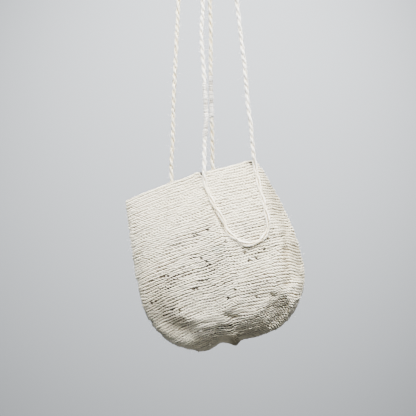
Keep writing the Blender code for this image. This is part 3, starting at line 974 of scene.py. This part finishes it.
def stray_fibres(name, roots, outward, hair, material, random):
    """Short bent fibres that stand off the yarn, as one mesh."""
    lengths = random.gamma(HAIR_SHAPE, hair.scale, hair.count) * MM + hair.least
    points = len(FIBRE_TAPER)
    share = np.arange(points)[:, None] / (points - 1)
    tubes = []
    for root, out, length in zip(roots, outward, lengths):
        lean = unit(out + hair.spread * random.standard_normal(3))
        curl = FIBRE_CURL * random.standard_normal(3)
        path = root + length * (lean * share + curl * share ** 2)
        side = unit(np.cross(lean, NOT_ALONG))[None] * np.ones((points, 1))
        up = np.cross(side, unit(np.gradient(path, axis=0)))
        tubes.append(tube_arrays(path, side, up, FIBRE * np.array(FIBRE_TAPER),
                                 FIBRE_SIDES, False))
    tones = np.full(len(tubes) * points * FIBRE_SIDES, FIBRE_TONE)
    return joined_mesh(name, tubes, tones, material)


def cloth_fibres(material, random, hair):
    course = random.uniform(0.1, COURSES - 0.5, hair.count)
    turn = random.random(hair.count)
    outward = unit(sample(OUTWARD, course, turn))
    roots = sample(PLACES, course, turn) - outward * CLOTH_ROOTS * MM
    return stray_fibres("cloth_stray_fibres", roots, outward, hair, material, random)


def cord_fibres(name, route, material, random, hair):
    places = random.integers(2, len(route) - 2, hair.count)
    ahead = unit(np.gradient(route, axis=0))[places]
    outward = random.standard_normal((hair.count, 3))
    outward = unit(outward - ahead * np.sum(outward * ahead, axis=1, keepdims=True))
    roots = route[places] + outward * STRAP * CORD_ROOTS
    return stray_fibres(name, roots, outward + CORD_LEAN * ahead, hair, material, random)


# Stage and light

Lamp = namedtuple("Lamp", "name place aim size power colour")
LAMPS = (
    Lamp("key", (0.16, -1.02, 1.76), (0.0, 0.0, -0.30), 2.2, 570, "#FFFFFF"),
    Lamp("fill", (-1.5, -1.2, 1.0), (0.0, 0.0, -0.32), 1.2, 8, "#F4F7FF"),
    Lamp("floor_bounce", (0.45, -1.05, -1.55), (0.05, 0.0, -0.42), 1.4, 3.5, "#F2F2F8"),
)
GLOW = Lamp("backdrop_glow", (0.2, 0.6, 0.9), (0.02, 2.2, -0.04), 0.2, 2500, "#FFFFFF")
GLOW_CONE = math.radians(70)
ROOM_LIGHT, ROOM_STRENGTH = "#D3D9E4", 0.13


def make_stage():
    """A pale sweep: a floor that curves up into a wall behind the bag."""
    paper, _, shader = new_material("matt_backdrop_paper", 0.95, 0.0, 0.1)
    shader.inputs["Base Color"].default_value = linear("#525456")
    floor, front, back, top, half, bend = -2.2, -2.5, 2.2, 3.0, 4.5, 0.6
    mesh = bmesh.new()
    line = [(-half, front, floor)]
    line += [(-half, back - bend + bend * math.sin(a), floor + bend - bend * math.cos(a))
             for a in np.linspace(0, math.pi / 2, 16)]
    line.append((-half, back, top))
    vertices = [mesh.verts.new(p) for p in line]
    edges = [mesh.edges.new(pair) for pair in zip(vertices, vertices[1:])]
    made = bmesh.ops.extrude_edge_only(mesh, edges=edges)
    moved = [g for g in made["geom"] if isinstance(g, bmesh.types.BMVert)]
    bmesh.ops.translate(mesh, verts=moved, vec=(2 * half, 0, 0))
    data = bpy.data.meshes.new("backdrop")
    mesh.to_mesh(data)
    mesh.free()
    data.shade_smooth()
    data.materials.append(paper)
    put_in_scene("backdrop", data)


def hang_lamp(lamp, kind):
    """One lamp, turned to what it is aimed at."""
    data = bpy.data.lights.new(lamp.name, kind)
    data.energy = lamp.power
    data.color = linear(lamp.colour)[:3]
    made = put_in_scene(lamp.name, data)
    made.location = lamp.place
    turned = (Vector(lamp.aim) - Vector(lamp.place)).to_track_quat("-Z", "Y")
    made.rotation_euler = turned.to_euler()
    return data


def make_light():
    world = bpy.data.worlds.new("studio")
    world.use_nodes = True
    room = world.node_tree.nodes["Background"].inputs
    room["Color"].default_value = linear(ROOM_LIGHT)
    room["Strength"].default_value = ROOM_STRENGTH
    bpy.context.scene.world = world
    for lamp in LAMPS:
        data = hang_lamp(lamp, "AREA")
        data.shape = "DISK"
        data.size = lamp.size
    data = hang_lamp(GLOW, "SPOT")
    data.shadow_soft_size = GLOW.size
    data.spot_size = GLOW_CONE
    data.spot_blend = 1.0


SEED = 7

make_camera()
random = np.random.default_rng(SEED)

# In the yarn, cord and thread ramps the low end is painted shade deep between stitches, plies
# and turns
# The bag: plant fibre rolled by hand into two plies, neither dyed nor bleached
yarn = spun_yarn("hand_spun_undyed_yarn", 2.4 * MM, (
    (0, "#433D30"), (0.36, "#A49A7E"), (0.7, "#E9DFC3"), (1, "#F9F2DC")))
# The front strap: softly spun, in paler stops than the back strap, as the lit copy
white_fibre = spun_yarn("soft_white_cord_yarn", 3 * MM, (
    (0, "#9A8458"), (0.35, "#D8CAA8"), (0.7, "#F7F1E2"), (1, "#FFFDF6")))
# The back strap: the same spinning, in darker, more golden stops: painted shade, as it hangs
# behind
shaded_cord_fibre = spun_yarn("soft_cord_yarn_in_painted_shade", 3 * MM, (
    (0, "#7E6230"), (0.34, "#CCB273"), (0.68, "#F2E7C8"), (1, "#FDF8E4")))
# The whippings: two-ply thread, wound tight
thread = spun_yarn("wound_whipping_thread", 1.6 * MM, (
    (0, "#7D7260"), (0.4, "#CFC6B4"), (0.7, "#F2EDE2"), (1, "#FCFAF4")))
# The bag's yarn where it lies behind the stitches: painted shade, dark all through
inner_cloth_shade = spun_yarn("painted_shade_behind_stitches", 2.4 * MM, (
    (0, "#15130F"), (0.5, "#4A4135"), (1, "#8A7C62")))
# Single fibres that have worked out of the yarn
fibre = spun_yarn("loose_plant_fibre", 2 * MM, ((0, "#E6DFCE"), (1, "#FAF7EF")), plies=1)

front_cord, front_route, front_length = twisted_strap(
    "front_strap_cord", FRONT_RISE, FRONT_ON_WALL, FRONT_TO_WHIPPING, -1, white_fibre, random)
back_cord, back_route, back_length = twisted_strap(
    "back_strap_cord", BACK_RISE, BACK_ON_WALL, BACK_TO_WHIPPING, 1, shaded_cord_fibre, random)
front_winding = wound_whipping("front_whipping_turns", FRONT_WHIPPING, thread, random)
back_winding = wound_whipping("back_whipping_turns", BACK_WHIPPING, thread, random)

wide_open = np.array(LOOSE_STITCHES + SLOTS)
runs = loose_places(random)
holes = np.concatenate([wide_open, runs])
push = np.concatenate([np.full(len(wide_open), OPEN_PUSH),
                       random.uniform(*RUN_PUSH, len(runs))])
courses = looped_cloth(yarn, random, holes, push)
cloth = bag_cloth(inner_cloth_shade, wide_open)
cloth_hairs = cloth_fibres(fibre, random, CLOTH_HAIR)
front_hairs = cord_fibres("front_strap_fibres", front_route, fibre, random, FRONT_HAIR)
back_hairs = cord_fibres("back_strap_fibres", back_route, fibre, random, BACK_HAIR)

for piece, slot in ((front_cord, "twisted_cord"), (back_cord, "twisted_cord"),
                    (front_winding, "whipping_thread"), (back_winding, "whipping_thread"),
                    (front_hairs, "twisted_cord"), (back_hairs, "twisted_cord"),
                    (cloth, "looped_yarn"), (cloth_hairs, "looped_yarn"),
                    *((c, "looped_yarn") for c in courses)):
    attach(piece, "root")
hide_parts("front_strap")
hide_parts("back_strap")
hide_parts("front_whipping")
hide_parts("back_whipping")
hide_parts("bag_body")

make_stage()
make_light()
